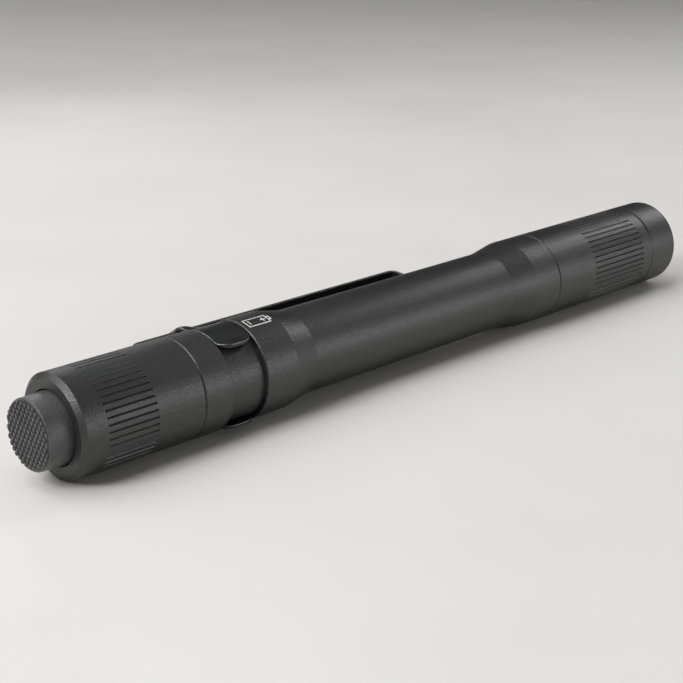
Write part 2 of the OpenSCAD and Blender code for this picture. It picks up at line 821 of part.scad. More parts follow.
module led_dome() {
    color("#e6d24a") lay()
        intersection() {
            translate([0, 0, s_led + led_h])
                sphere(led_dome_r);
            disc(led_dome_r + 1, s_led + led_h, led_dome_r + 1);
        }
}

module centering_ring() {
    hole = led_side + 2 * pocket_clearance;
    color("white") lay() difference() {
        disc(inner_r - centering_step, s_led, centering_l);
        translate([-hole / 2, -hole / 2, s_led - eps])
            cube([hole, hole, centering_l + 2 * eps]);
    }
}

// The reflector's bowl is a parabola between its rear opening and its front edge
module reflector() {
    steps = 12;
    bowl = [for (i = [0:steps])
        let (share = i / steps)
        [sqrt(pow(reflector_rear_r, 2) + share * (pow(opening_r, 2) - pow(reflector_rear_r, 2))),
         s_reflector + share * reflector_l]];
    back = [[inner_r, s_lens], [inner_r, s_lens - reflector_rim_l],
        [inner_r - centering_step, s_reflector]];
    color("#d8dadc") lay() turned(concat(bowl, back));
}

module lens() {
    color("#cfe3ea", 0.4) lay() disc(lens_r, s_lens, lens_t);
}

module lens_seal() {
    color(seal_rubber) lay()
        rotate_extrude()
            translate([lens_r - lens_seal_cord / 2, (s_lens_seal + s_lip) / 2])
                circle(d = lens_seal_cord);
}

// Least gaps of the wound springs, in millimetres
echo(return_spring_gap = least_gap(return_line, return_wire_d));
echo(tail_spring_gap = least_gap(tail_line, tail_wire_d));
echo(overall_l = overall_l, cap_l = cap_l, s_head = s_head, s_bezel = s_bezel, wide_d = 2 * wide_r);
echo(fold_x = s_fold - overall_l, fold_y = fold_y, arm_y = arm_y, waist_l = s_neck_taper - s_waist);

tail_cap();
boot_crown();
boot_skirt();
boot_washer();
switch_cover();
switch_plunger();
contact_bridge();
return_spring();
switch_contacts();
switch_housing();
switch_board();
switch_ring();
tail_spring();
battery_tube();
rear_o_ring();
front_o_ring();
rear_cell_can();
rear_cell_jacket();
rear_cell_nub();
front_cell_can();
front_cell_jacket();
front_cell_nub();
clip_ring();
clip_arm();
head_shell();
bezel();
driver_ring();
front_contact();
driver_board();
driver_parts();
heat_sink();
led_leads();
led_board();
led_package();
led_dome();
centering_ring();
reflector();
lens();
lens_seal();
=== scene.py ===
"""Looks of a slim pocket torch: rubber button, sprung clip, finishes, studio and camera."""
import json
import math

import bmesh
import bpy
from mathutils import Matrix, Vector


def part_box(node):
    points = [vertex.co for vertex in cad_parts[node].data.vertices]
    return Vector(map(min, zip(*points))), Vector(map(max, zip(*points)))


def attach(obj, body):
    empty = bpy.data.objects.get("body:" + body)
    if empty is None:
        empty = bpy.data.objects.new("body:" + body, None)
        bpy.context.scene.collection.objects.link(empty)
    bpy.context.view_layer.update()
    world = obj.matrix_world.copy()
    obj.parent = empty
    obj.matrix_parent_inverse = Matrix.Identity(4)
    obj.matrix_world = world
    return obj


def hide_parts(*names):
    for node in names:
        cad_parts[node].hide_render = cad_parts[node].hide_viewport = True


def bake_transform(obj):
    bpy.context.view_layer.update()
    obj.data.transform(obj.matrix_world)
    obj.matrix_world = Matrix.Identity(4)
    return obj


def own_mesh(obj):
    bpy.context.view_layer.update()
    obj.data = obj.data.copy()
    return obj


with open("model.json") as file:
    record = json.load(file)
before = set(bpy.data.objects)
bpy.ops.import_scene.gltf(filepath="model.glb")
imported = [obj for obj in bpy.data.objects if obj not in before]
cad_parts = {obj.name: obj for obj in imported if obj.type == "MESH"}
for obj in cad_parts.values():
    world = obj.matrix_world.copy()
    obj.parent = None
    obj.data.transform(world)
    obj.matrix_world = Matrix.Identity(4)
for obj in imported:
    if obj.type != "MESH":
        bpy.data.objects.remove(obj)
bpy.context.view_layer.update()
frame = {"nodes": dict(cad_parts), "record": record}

# Lengths are in millimetres; stations run along the axis from the tail face
MM = 0.001
NEAR = 1e-4  # points closer than this count as one
TAIL_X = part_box("tail_cap")[0].x  # the tail face, in metres


def place(s, y, z):
    """A point in the row frame from its station and its two offsets from the axis."""
    return Vector((TAIL_X + s * MM, y * MM, z * MM))


def everything(bm):
    """All that a mesh holds, for operators that take it as one list."""
    return bm.verts[:] + bm.edges[:] + bm.faces[:]


def piece(name, bm, finishes, sharp=40):
    """Makes an object of a mesh in stations and offsets, smooth but for its sharp edges."""
    for v in bm.verts:
        v.co = place(*v.co)
    mesh = bpy.data.meshes.new(name)
    bm.to_mesh(mesh)
    bm.free()
    mesh.shade_smooth()
    mesh.set_sharp_from_angle(angle=math.radians(sharp))
    for finish in finishes:
        mesh.materials.append(finish)
    obj = bpy.data.objects.new(name, mesh)
    bpy.context.scene.collection.objects.link(obj)
    return obj


# Helpers for materials, which all take their patterns from the object's own coordinates

def linear(hex_code):
    """An sRGB hex value as linear RGBA."""
    parts = [int(hex_code[i:i + 2], 16) / 255 for i in (1, 3, 5)]
    return [c / 12.92 if c <= 0.04045 else ((c + 0.055) / 1.055) ** 2.4 for c in parts] + [1]


def add(tree, kind, inputs=None, stops=None, **settings):
    """Adds a node with its settings, its ramp's stops, and its sockets' values or feeds."""
    node = tree.nodes.new("ShaderNode" + kind)
    for name, value in settings.items():
        setattr(node, name, value)
    for name, value in (inputs or {}).items():
        if isinstance(value, bpy.types.NodeSocket):
            tree.links.new(value, node.inputs[name])
        else:
            node.inputs[name].default_value = value
    if stops:
        ramp = node.color_ramp.elements
        for i, (at, hex_code) in enumerate(stops):
            stop = ramp[i] if i < len(ramp) else ramp.new(at)
            stop.position, stop.color = at, linear(hex_code)
    return node


def start(name):
    """An empty material: its node tree and the object's own coordinates."""
    material = bpy.data.materials.new(name)
    material.use_nodes = True
    tree = material.node_tree
    tree.nodes.clear()
    return material, tree, add(tree, "TexCoord").outputs["Object"]


def close(material, tree, inputs):
    """Ends a material with its one shader."""
    shader = add(tree, "BsdfPrincipled", inputs)
    add(tree, "OutputMaterial", {"Surface": shader.outputs["BSDF"]})
    return material


def per_m(mm):
    """The texture scale at which one cell of a pattern is so many millimetres wide."""
    return 1 / (mm * MM)


def bands_per_m(mm):
    """The wave texture's scale at which its bands across one axis are so many millimetres apart."""
    return math.pi / 10 / (mm * MM)


# Materials

def black_hard_anodise():
    """Black hard-anodised aluminium, bead blasted: near black, soft gloss broken by fine grain."""
    material, tree, where = start("black_hard_anodise")
    dye = add(tree, "TexNoise", {"Vector": where, "Scale": per_m(9), "Detail": 3})
    colour = add(tree, "ValToRGB", {"Fac": dye.outputs["Fac"]},
                 stops=[(0.3, "#151516"), (0.7, "#1b1b1c")])
    # The blast's pits are near 0.1 mm; drawn at 0.3 mm so that they show
    pits = add(tree, "TexNoise", {"Vector": where, "Scale": per_m(0.3), "Detail": 2})
    gloss = add(tree, "MapRange", {"Value": pits.outputs["Fac"], "From Min": 0.3, "From Max": 0.7,
                                   "To Min": 0.38, "To Max": 0.5})
    # Broken edges are rounded by the blast and catch the light
    edges = add(tree, "Bevel", {"Radius": 0.08 * MM}, samples=4)
    grain = add(tree, "Bump", {"Height": pits.outputs["Fac"], "Strength": 1.0,
                               "Distance": 0.052 * MM, "Normal": edges.outputs["Normal"]})
    return close(material, tree, {
        "Base Color": colour.outputs["Color"], "Roughness": gloss.outputs["Result"],
        "Normal": grain.outputs["Normal"], "IOR": 1.65})


def silicone_rubber():
    """Moulded black silicone: dark grey and satin, with a sandy grain and a little bloom on it."""
    material, tree, where = start("silicone_rubber")
    bloom = add(tree, "TexNoise", {"Vector": where, "Scale": per_m(2.5), "Detail": 4})
    colour = add(tree, "ValToRGB", {"Fac": bloom.outputs["Fac"]},
                 stops=[(0.3, "#454546"), (0.75, "#525253")])
    # The mould's sand-blast is near 0.1 mm; drawn at 0.3 mm so that it shows
    sand = add(tree, "TexNoise", {"Vector": where, "Scale": per_m(0.3), "Detail": 2})
    grain = add(tree, "Bump", {"Height": sand.outputs["Fac"], "Strength": 1.0,
                               "Distance": 0.09 * MM})
    return close(material, tree, {
        "Base Color": colour.outputs["Color"], "Roughness": 0.33,
        "Normal": grain.outputs["Normal"], "IOR": 1.5})


def greased_seal():
    """Nitrile O-ring with a film of grease: black, with a slick patchy shine."""
    material, tree, where = start("greased_seal")
    film = add(tree, "TexNoise", {"Vector": where, "Scale": per_m(1.5), "Detail": 2})
    colour = add(tree, "ValToRGB", {"Fac": film.outputs["Fac"]},
                 stops=[(0.35, "#121212"), (0.65, "#1a1a19")])
    gloss = add(tree, "MapRange", {"Value": film.outputs["Fac"], "From Min": 0.35, "From Max": 0.65,
                                   "To Min": 0.15, "To Max": 0.4})
    return close(material, tree, {
        "Base Color": colour.outputs["Color"], "Roughness": gloss.outputs["Result"], "IOR": 1.5})


def blackened_spring_steel():
    """Spring steel with a baked black coat: smoother and a touch glossier than the body."""
    material, tree, where = start("blackened_spring_steel")
    coat = add(tree, "TexNoise", {"Vector": where, "Scale": per_m(5), "Detail": 3})
    colour = add(tree, "ValToRGB", {"Fac": coat.outputs["Fac"]},
                 stops=[(0.3, "#141415"), (0.7, "#191a1b")])
    # The coat's orange peel has swells near 0.6 mm
    peel = add(tree, "TexNoise", {"Vector": where, "Scale": per_m(0.6), "Detail": 1})
    gloss = add(tree, "MapRange", {"Value": peel.outputs["Fac"], "From Min": 0.3, "From Max": 0.7,
                                   "To Min": 0.28, "To Max": 0.38})
    swell = add(tree, "Bump", {"Height": peel.outputs["Fac"], "Strength": 0.15,
                               "Distance": 0.02 * MM})
    return close(material, tree, {
        "Base Color": colour.outputs["Color"], "Roughness": gloss.outputs["Result"],
        "Normal": swell.outputs["Normal"], "IOR": 1.5})


def rubbed_edge_and_painted_glint():
    """The same coat thinned at the sheet's tumbled edges, with dark grey steel showing through it,
    and a painted highlight that makes the edges bright.
    """
    material, tree, where = start("rubbed_edge_and_painted_glint")
    rub = add(tree, "TexNoise", {"Vector": where, "Scale": per_m(0.8), "Detail": 3})
    # The light grey is partly rubbed steel and partly a painted highlight, so the edges show as
    # thin bright lines
    colour = add(tree, "ValToRGB", {"Fac": rub.outputs["Fac"]},
                 stops=[(0.35, "#4a4a4c"), (0.7, "#7d7d80")])
    return close(material, tree, {
        "Base Color": colour.outputs["Color"], "Metallic": 0.7, "Roughness": 0.34})


def turned_brass():
    """Turned brass: warm yellow with fine tool rings along the axis and a little tarnish."""
    material, tree, where = start("turned_brass")
    tarnish = add(tree, "TexNoise", {"Vector": where, "Scale": per_m(1.8), "Detail": 4})
    colour = add(tree, "ValToRGB", {"Fac": tarnish.outputs["Fac"]},
                 stops=[(0.3, "#a98645"), (0.7, "#d2b06a")])
    # Feed marks are near 0.08 mm apart; drawn at 0.2 mm so that they show
    rings = add(tree, "TexWave", {"Vector": where, "Scale": bands_per_m(0.2)}, bands_direction="X")
    marks = add(tree, "Bump", {"Height": rings.outputs["Fac"], "Strength": 0.15,
                               "Distance": 0.02 * MM})
    return close(material, tree, {
        "Base Color": colour.outputs["Color"], "Metallic": 1, "Roughness": 0.28,
        "Normal": marks.outputs["Normal"]})


def nickel_plated_steel():
    """Bright nickel plate on drawn steel: grey mirror with faint drawing lines along the axis."""
    material, tree, where = start("nickel_plated_steel")
    # Drawing lines are near 0.05 mm wide; drawn at 0.25 mm, and 20 times as long, so that they show
    along = add(tree, "Mapping", {"Vector": where, "Scale": (0.05, 1, 1)})
    lines = add(tree, "TexNoise", {"Vector": along.outputs["Vector"], "Scale": per_m(0.25),
                                   "Detail": 2})
    colour = add(tree, "ValToRGB", {"Fac": lines.outputs["Fac"]},
                 stops=[(0.3, "#b9b8b4"), (0.7, "#cfcdc8")])
    gloss = add(tree, "MapRange", {"Value": lines.outputs["Fac"], "To Min": 0.15, "To Max": 0.4})
    return close(material, tree, {
        "Base Color": colour.outputs["Color"], "Metallic": 1, "Roughness": gloss.outputs["Result"]})


def shrink_sleeve():
    """Shrunk PVC sleeve of a cell: smooth slate colour, slightly rippled, plain."""
    material, tree, where = start("shrink_sleeve")
    ripple = add(tree, "TexNoise", {"Vector": where, "Scale": per_m(3), "Detail": 2})
    colour = add(tree, "ValToRGB", {"Fac": ripple.outputs["Fac"]},
                 stops=[(0.3, "#3f4952"), (0.7, "#4b5761")])
    swell = add(tree, "Bump", {"Height": ripple.outputs["Fac"], "Strength": 0.2,
                               "Distance": 0.08 * MM})
    return close(material, tree, {
        "Base Color": colour.outputs["Color"], "Roughness": 0.3, "Normal": swell.outputs["Normal"],
        "IOR": 1.53})


def moulded_plastic(name, dark, light):
    """Moulded engineering plastic: even colour, and a spark-eroded mould's fine texture."""
    material, tree, where = start(name)
    # The eroded texture is near 0.1 mm; drawn at 0.25 mm so that it shows
    texture = add(tree, "TexNoise", {"Vector": where, "Scale": per_m(0.25), "Detail": 2})
    flow = add(tree, "TexNoise", {"Vector": where, "Scale": per_m(4), "Detail": 2})
    colour = add(tree, "ValToRGB", {"Fac": flow.outputs["Fac"]}, stops=[(0.3, dark), (0.7, light)])
    bump = add(tree, "Bump", {"Height": texture.outputs["Fac"], "Strength": 0.2,
                              "Distance": 0.03 * MM})
    return close(material, tree, {
        "Base Color": colour.outputs["Color"], "Roughness": 0.5, "Normal": bump.outputs["Normal"],
        "IOR": 1.5})


def solder_mask():
    """Green solder mask over glass cloth: satin, with the weave and copper lines showing."""
    material, tree, where = start("solder_mask")
    turned = add(tree, "Mapping", {"Vector": where, "Rotation": (0, math.pi / 2, 0)})
    # Copper lines about 0.34 mm wide, 1.4 mm from row to row and 2.8 mm along a row
    lines = add(tree, "TexBrick", {
        "Vector": turned.outputs["Vector"], "Scale": per_m(1.4), "Mortar Size": 0.12,
        "Brick Width": 2.0, "Row Height": 1.0,
        "Color1": linear("#12402a"), "Color2": linear("#154a30"), "Mortar": linear("#2c6b45")})
    # Glass cloth has near 0.5 mm from thread to thread, across the diagonal of the board's face
    weave = add(tree, "TexWave", {"Vector": turned.outputs["Vector"],
                                  "Scale": bands_per_m(0.5) * math.sqrt(2)},
                bands_direction="DIAGONAL")
    bump = add(tree, "Bump", {"Height": weave.outputs["Fac"], "Strength": 0.1,
                              "Distance": 0.02 * MM})
    return close(material, tree, {
        "Base Color": lines.outputs["Color"], "Roughness": 0.38, "Normal": bump.outputs["Normal"],
        "IOR": 1.55})


def turned_aluminium():
    """Bare turned aluminium: pale grey, with feed rings that stretch its gloss."""
    material, tree, where = start("turned_aluminium")
    # Feed marks are near 0.1 mm apart; drawn at 0.25 mm so that they show
    rings = add(tree, "TexWave", {"Vector": where, "Scale": bands_per_m(0.25), "Distortion": 0.4},
                bands_direction="X")
    colour = add(tree, "ValToRGB", {"Fac": rings.outputs["Fac"]},
                 stops=[(0.2, "#c2c3c5"), (0.8, "#d6d7d8")])
    marks = add(tree, "Bump", {"Height": rings.outputs["Fac"], "Strength": 0.2,
                               "Distance": 0.02 * MM})
    return close(material, tree, {
        "Base Color": colour.outputs["Color"], "Metallic": 1, "Roughness": 0.32,
        "Normal": marks.outputs["Normal"]})


def phosphor_dome():
    """Clear silicone dome over yellow phosphor: egg-yolk yellow under a wet gloss."""
    material, tree, where = start("phosphor_dome")
    # The powder's grains are near 0.02 mm; drawn at 0.3 mm so that they show
    powder = add(tree, "TexNoise", {"Vector": where, "Scale": per_m(0.3), "Detail": 3})
    colour = add(tree, "ValToRGB", {"Fac": powder.outputs["Fac"]},
                 stops=[(0.3, "#d9b52c"), (0.7, "#efd75a")])
    return close(material, tree, {
        "Base Color": colour.outputs["Color"], "Roughness": 0.12, "IOR": 1.41,
        "Coat Weight": 1, "Coat Roughness": 0.03})


def vacuum_plated_reflector():
    """Aluminium plated on a smooth moulding: a clean mirror with a faint uneven haze."""
    material, tree, where = start("vacuum_plated_reflector")
    haze = add(tree, "TexNoise", {"Vector": where, "Scale": per_m(2), "Detail": 3})
    colour = add(tree, "ValToRGB", {"Fac": haze.outputs["Fac"]},
                 stops=[(0.3, "#e4e6e8"), (0.7, "#eef0f1")])
    gloss = add(tree, "MapRange", {"Value": haze.outputs["Fac"], "To Min": 0.02, "To Max": 0.1})
    return close(material, tree, {
        "Base Color": colour.outputs["Color"], "Metallic": 1, "Roughness": gloss.outputs["Result"]})


def toughened_glass():
    """Flat toughened glass: clear, its edge a little green, polished with the odd speck."""
    material, tree, where = start("toughened_glass")
    speck = add(tree, "TexNoise", {"Vector": where, "Scale": per_m(1.2), "Detail": 4})
    colour = add(tree, "ValToRGB", {"Fac": speck.outputs["Fac"]},
                 stops=[(0.3, "#f1f8f5"), (0.7, "#f8fcfa")])
    gloss = add(tree, "MapRange", {"Value": speck.outputs["Fac"], "From Min": 0.6, "From Max": 0.8,
                                   "To Min": 0.0, "To Max": 0.05})
    return close(material, tree, {
        "Base Color": colour.outputs["Color"], "Roughness": gloss.outputs["Result"],
        "Transmission Weight": 1, "IOR": 1.5})


def pad_print():
    """White pad-printed ink: off-white, dry, slightly thin in places."""
    material, tree, where = start("pad_print")
    thin = add(tree, "TexNoise", {"Vector": where, "Scale": per_m(0.3), "Detail": 3})
    colour = add(tree, "ValToRGB", {"Fac": thin.outputs["Fac"]},
                 stops=[(0.35, "#bdbdbb"), (0.6, "#d8d8d6")])
    return close(material, tree, {"Base Color": colour.outputs["Color"], "Roughness": 0.6})


def pale_paper():
    """Matt pale paper: off-white with a faint tooth."""
    material, tree, where = start("pale_paper")
    tooth = add(tree, "TexNoise", {"Vector": where, "Scale": per_m(40), "Detail": 4})
    colour = add(tree, "ValToRGB", {"Fac": tooth.outputs["Fac"]},
                 stops=[(0.3, "#d3d2cf"), (0.7, "#d8d7d4")])
    return close(material, tree, {"Base Color": colour.outputs["Color"], "Roughness": 0.9})


SLOTS = {
    "anodised_body": black_hard_anodise(),
    "boot_rubber": silicone_rubber(),
    "seal_rubber": greased_seal(),
    "clip_steel": blackened_spring_steel(),
    "brass_contact": turned_brass(),
    "nickel_plate": nickel_plated_steel(),
    "cell_jacket": shrink_sleeve(),
    "dark_plastic": moulded_plastic("black_nylon", "#232325", "#2c2c2e"),
    "white_plastic": moulded_plastic("white_acetal", "#dedcd6", "#eae8e2"),
    "circuit_board": solder_mask(),
    "chip_black": moulded_plastic("epoxy_package", "#1d1d1e", "#262627"),
    "wire_red": moulded_plastic("red_insulation", "#a82a22", "#bd362c"),
    "bare_aluminium": turned_aluminium(),
    "led_ceramic": moulded_plastic("alumina_ceramic", "#e9e5d6", "#f3f0e4"),
    "led_phosphor": phosphor_dome(),
    "reflector_mirror": vacuum_plated_reflector(),
    "lens_glass": toughened_glass(),
}
for part in frame["record"]["subparts"]:
    frame["nodes"][part["node"]].data.materials[0] = SLOTS[part["material_slot"]]


# The button's rubber boot, one moulding from its checkered top to the clamped flange

BOOT_TOP = -3.44  # station of the top, between the checks
BOOT_R = 5.0  # outside radius at the tail face
BOOT_DRAFT = 0.1  # how much less that is at the top
BOOT_EDGE = 0.16  # rounding of the top's edge
ROOF_IN = -2.7  # station of the inside of the top
STEM_R, STEM_END = 1.6, 1.0  # the stem under the top, which presses the switch
FLANGE_R, FLANGE_FROM, FLANGE_TO = 6.1, 1.32, 2.28
BOOT_STEPS = 96

CHECK_ROW = 0.70  # from one row of checks to the next
CHECK_PITCH = 0.88  # from check to check along a row
CHECK_H = 0.3  # how far a check stands over the top
CHECK_SINK = 0.04  # how far its foot stands in the rubber
CHECK_FOOT, CHECK_TIP = 0.95, 0.5  # a check's width there and at its tip, as shares of its room
CHECK_R, CHECK_SIDES = 4.62, 40


def boot_body():
    """The boot's wall and flange, spun from its half outline of stations and radii."""
    shoulder = BOOT_R - BOOT_DRAFT
    top = [(BOOT_TOP, 0), (BOOT_TOP, shoulder - BOOT_EDGE)]
    top += [(BOOT_TOP + BOOT_EDGE * (1 - math.cos(a)), shoulder - BOOT_EDGE * (1 - math.sin(a)))
            for a in (math.pi / 8, math.pi / 4, 3 * math.pi / 8, math.pi / 2)]
    # The wall widens to the tail face, then curves out to the flange inside the cap
    outside = [(-1.8, 4.95), (0.0, BOOT_R), (0.7, 5.02), (1.1, 5.1), (1.3, 5.3)]
    flange = [(FLANGE_FROM, FLANGE_R), (FLANGE_TO, FLANGE_R)]
    inside = [(FLANGE_TO, 5.25), (1.9, 4.7), (1.2, 4.35), (0, 4.2), (ROOF_IN, 4.0)]
    stem = [(ROOF_IN, STEM_R), (STEM_END, STEM_R), (STEM_END, 0)]
    bm = bmesh.new()
    dots = [bm.verts.new((s, r, 0)) for s, r in top + outside + flange + inside + stem]
    lines = [bm.edges.new(pair) for pair in zip(dots, dots[1:])]
    bmesh.ops.spin(bm, geom=dots + lines, cent=(0, 0, 0), axis=(1, 0, 0), angle=2 * math.pi,
                   steps=BOOT_STEPS, use_merge=True)
    bmesh.ops.remove_doubles(bm, verts=bm.verts[:], dist=NEAR)
    bmesh.ops.recalc_face_normals(bm, faces=bm.faces[:])
    return bm


def checkering(bm):
    """Adds blunt pyramids in staggered rows over the boot's top, cut off round at its edge."""
    checks = bmesh.new()
    # A check's room is a diamond between its four neighbours
    room = Matrix.Diagonal((CHECK_ROW, CHECK_PITCH / 2, 1, 1))
    outward = Matrix.Rotation(-math.pi / 2, 4, "Y")
    rows = int(BOOT_R / CHECK_ROW) + 1
    columns = int(BOOT_R / CHECK_PITCH) + 1
    for row in range(-rows, rows + 1):
        for column in range(-columns, columns + 1):
            y = (column + 0.5 * (row % 2)) * CHECK_PITCH
            z = row * CHECK_ROW
            if math.hypot(y, z) < CHECK_R + CHECK_ROW:
                middle = Matrix.Translation((BOOT_TOP - CHECK_H / 2 + CHECK_SINK / 2, y, z))
                bmesh.ops.create_cone(
                    checks, segments=4, radius1=CHECK_FOOT, radius2=CHECK_TIP,
                    depth=CHECK_H + CHECK_SINK, cap_ends=True, matrix=middle @ outward @ room)
    for i in range(CHECK_SIDES):
        a = 2 * math.pi * i / CHECK_SIDES
        out = Vector((0, math.cos(a), math.sin(a)))
        cut = bmesh.ops.bisect_plane(checks, geom=everything(checks), plane_co=out * CHECK_R,
                                     plane_no=out, clear_outer=True)
        open_edges = [e for e in cut["geom_cut"] if isinstance(e, bmesh.types.BMEdge)]
        bmesh.ops.holes_fill(checks, edges=open_edges, sides=0)
    bmesh.ops.recalc_face_normals(checks, faces=checks.faces[:])
    mesh = bpy.data.meshes.new("checks")
    checks.to_mesh(mesh)
    checks.free()
    bm.from_mesh(mesh)
    bpy.data.meshes.remove(mesh)


bm = boot_body()
checkering(bm)
boot = piece("boot", bm, [SLOTS["boot_rubber"]], sharp=30)
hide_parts("boot_crown", "boot_skirt")
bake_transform(boot)


# The switch's return spring

SPRING_WIRE_R, SPRING_WIRE_SIDES = 0.175, 10
SPRING_TURNS, SPRING_STEPS = 3.5, 84


def return_coil():
    """Round wire wound from the plunger to the housing's floor, and the coil's length at rest."""
    low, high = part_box("return_spring")
    begin = (low.x - TAIL_X) / MM + SPRING_WIRE_R
    length = (high.x - low.x) / MM - 2 * SPRING_WIRE_R
    coil_r = (high.y - low.y) / MM / 2 - SPRING_WIRE_R
    bm = bmesh.new()
    bmesh.ops.create_circle(bm, cap_ends=True, segments=SPRING_WIRE_SIDES, radius=SPRING_WIRE_R,
                            matrix=Matrix.Translation((begin, coil_r, 0)))
    bmesh.ops.spin(bm, geom=everything(bm), cent=(0, 0, 0), axis=(1, 0, 0),
                   dvec=(length / SPRING_STEPS, 0, 0), angle=2 * math.pi * SPRING_TURNS,
                   steps=SPRING_STEPS)
    bmesh.ops.recalc_face_normals(bm, faces=bm.faces[:])
    return bm, length


bm, spring_l = return_coil()
spring = piece("return_coil", bm, [SLOTS["nickel_plate"]])
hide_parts("return_spring")
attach(spring, "tail_cap")
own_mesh(spring)


# The clip, stamped from one sheet: a band round the seat, a fold and the long arm with its foot

SHEET_T = 0.5
BAND_R = 6.88  # radius of the band at the middle of the sheet
BAND_FROM, BAND_TO = 24.45, 30.35  # stations of its edges
HALF_ARC = math.radians(117.5)  # how far each end reaches round from the arm
FLARE_R, FLARE_TURN, FLARE_L = 0.85, math.radians(25), 1.45  # outward bend and straight tip there
BAND_CORNER = 2.3

LEAF_Y = 8.08  # offset from the axis at which the sheet passes over the collar
CLIMB_ROUND = 5.9, 8.4  # distances round the band where the climb to there is full, and none
CLIMB_ALONG = 25.2, 27.8  # stations where it is full, and none
ROOT_HALF_W, ROOT_L = 5.8, 1.6  # the strip behind the band: half width, and length it narrows in
FLAT_BEHIND = 2.8, 0.9  # distances behind the band where the strip is flat, and still round

ARM_HALF_W, ARM_L = 3.7, 51.0
FOLD_BACK, FOLD_R = 2.95, 1.16  # the straight behind the band, then the fold
FOOT_R, FOOT_L, TOE_R = 0.9, 1.74, 0.75  # the foot's bend, its straight and its upturned toe
FOOT_CORNER = 1.2
ARM_PATH = [  # from the band to the foot: length of a straight, or radius and turn of a bend
    (FOLD_BACK, 0, 0), (0, FOLD_R, -180), (ARM_L, 0, 0),
    (0, FOOT_R, -100), (FOOT_L, 0, 0), (0, TOE_R, 170)]

RIM_WEAR = 0.12  # width of the edges' tumbled rounding
RIM_ANGLE = 1.0  # in radians; only the sheet's own edges turn by more
# How finely the flat blank is cut up so that it can bend
ARC_CUTS, FLARE_CUTS, BAND_CUTS, ROOT_CUTS, BEND_CUTS = 45, 6, 18, 5, 12
STRAIGHT_CUT = 4.5  # length between cuts on a straight
ON_CUT = 1e-5  # points closer than this to a cut lie on it


def ease(x, full, none):
    """Falls smoothly from 1 at one value to 0 at another."""
    share = min(1, max(0, (none - x) / (none - full)))
    return share * share * (3 - 2 * share)


def on_path(d):
    """The point and the heading at a distance along the arm, in station and offset."""
    at, heading = Vector((BAND_FROM, LEAF_Y)), math.pi
    for length, r, turn in ARM_PATH:
        turn = math.radians(turn)
        run = length or r * abs(turn)
        go = min(d, run)
        if length:
            at = at + go * Vector((math.cos(heading), math.sin(heading)))
        else:
            side = math.copysign(math.pi / 2, turn)
            centre = at + r * Vector((math.cos(heading + side), math.sin(heading + side)))
            heading += math.copysign(go / r, turn)
            at = centre - r * Vector((math.cos(heading + side), math.sin(heading + side)))
        d -= go
        if d <= 0:
            break
    return at, heading


def path_stops():
    """Distances along the arm where the blank is cut so that it can bend, and its length."""
    stops, d = [], 0
    for length, r, turn in ARM_PATH:
        run = length or r * math.radians(abs(turn))
        cuts = BEND_CUTS if r else max(2, round(length / STRAIGHT_CUT))
        stops += [d + run * i / cuts for i in range(cuts)]
        d += run
    return stops[1:], d


def cut_across(bm, axis, at):
    """Cuts every face along a plane square to an axis."""
    point, normal = Vector(), Vector()
    point[axis], normal[axis] = at, 1
    bmesh.ops.bisect_plane(bm, geom=everything(bm), plane_co=point, plane_no=normal, dist=ON_CUT)


def clip_blank():
    """The flat blank, with stations along X and distances round the band along Z, cut to bend."""
    bm = bmesh.new()
    half = BAND_R * HALF_ARC + FLARE_R * FLARE_TURN + FLARE_L
    middle = (BAND_FROM + BAND_TO) / 2
    bmesh.ops.create_grid(
        bm, x_segments=1, y_segments=1, size=1,
        matrix=Matrix.Translation((middle, 0, 0)) @ Matrix.Rotation(math.pi / 2, 4, "X")
        @ Matrix.Diagonal(((BAND_TO - BAND_FROM) / 2, half, 1, 1)))
    bmesh.ops.bevel(bm, geom=bm.verts[:], offset=BAND_CORNER, segments=10, profile=0.5,
                    affect="VERTICES", material=-1)

    # A strip is drawn back from the middle of the band's rear edge, and its corners are rounded
    cut_across(bm, 2, ROOT_HALF_W)
    cut_across(bm, 2, -ROOT_HALF_W)
    stops, length = path_stops()
    root = [e for e in bm.edges
            if all(abs(v.co.x - BAND_FROM) < NEAR and abs(v.co.z) < ROOT_HALF_W + NEAR
                   for v in e.verts)]
    ends = [v for v in bmesh.ops.extrude_edge_only(bm, edges=root)["geom"]
            if isinstance(v, bmesh.types.BMVert)]
    bmesh.ops.translate(bm, verts=ends, vec=(-length, 0, 0))
    corners = [v for v in ends if abs(v.co.z) > ROOT_HALF_W - NEAR]
    bmesh.ops.bevel(bm, geom=corners, offset=FOOT_CORNER, segments=6, profile=0.5,
                    affect="VERTICES", material=-1)

    for i in range(-ARC_CUTS, ARC_CUTS + 1):
        cut_across(bm, 2, BAND_R * HALF_ARC * i / ARC_CUTS)
    for i in range(1, FLARE_CUTS + 1):
        for side in (-1, 1):
            cut_across(bm, 2, side * (BAND_R * HALF_ARC + FLARE_R * FLARE_TURN * i / FLARE_CUTS))
    for i in range(1, BAND_CUTS):
        cut_across(bm, 0, BAND_FROM + (BAND_TO - BAND_FROM) * i / BAND_CUTS)
    for d in [ROOT_L * i / ROOT_CUTS for i in range(1, ROOT_CUTS)] + stops:
        cut_across(bm, 0, BAND_FROM - d)
    return bm


